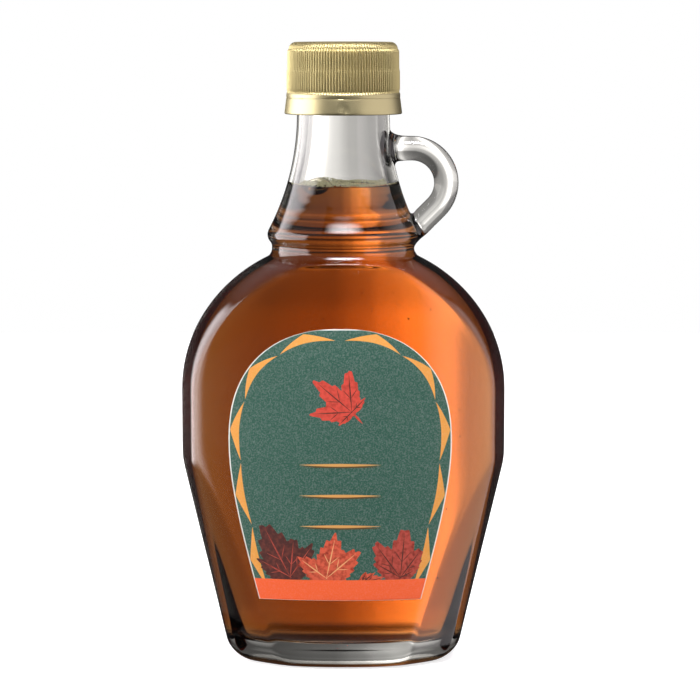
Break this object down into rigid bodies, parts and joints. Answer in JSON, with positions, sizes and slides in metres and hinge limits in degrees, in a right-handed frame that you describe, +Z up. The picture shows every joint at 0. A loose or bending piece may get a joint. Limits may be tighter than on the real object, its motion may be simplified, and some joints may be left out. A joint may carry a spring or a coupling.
{
  "type": "syrup jug",
  "caption": "Flat glass flask with a flared neck, a glass finger loop, a ribbed screw cap and an arched paper label, filled with maple syrup.",
  "frame": {"origin": "middle of the foot, on the surface that the flask stands on", "axes": "+Z up along the neck, +X towards the finger loop, -Y is the front with the label"},
  "size_m": [0.0862, 0.0476, 0.1647],
  "materials": {
    "glass": "clear flint glass, fire polished, with fine mould seams",
    "syrup": "clear amber brown syrup with fine air bubbles",
    "cap": "satin pale gold lacquer on thin metal",
    "label": "matt printed paper, green with ochre, coral and orange fields"
  },
  "bodies": {
    "root": {"bottle": "glass", "syrup": "syrup", "cap": "cap", "label": "label"}
  },
  "joints": []
}
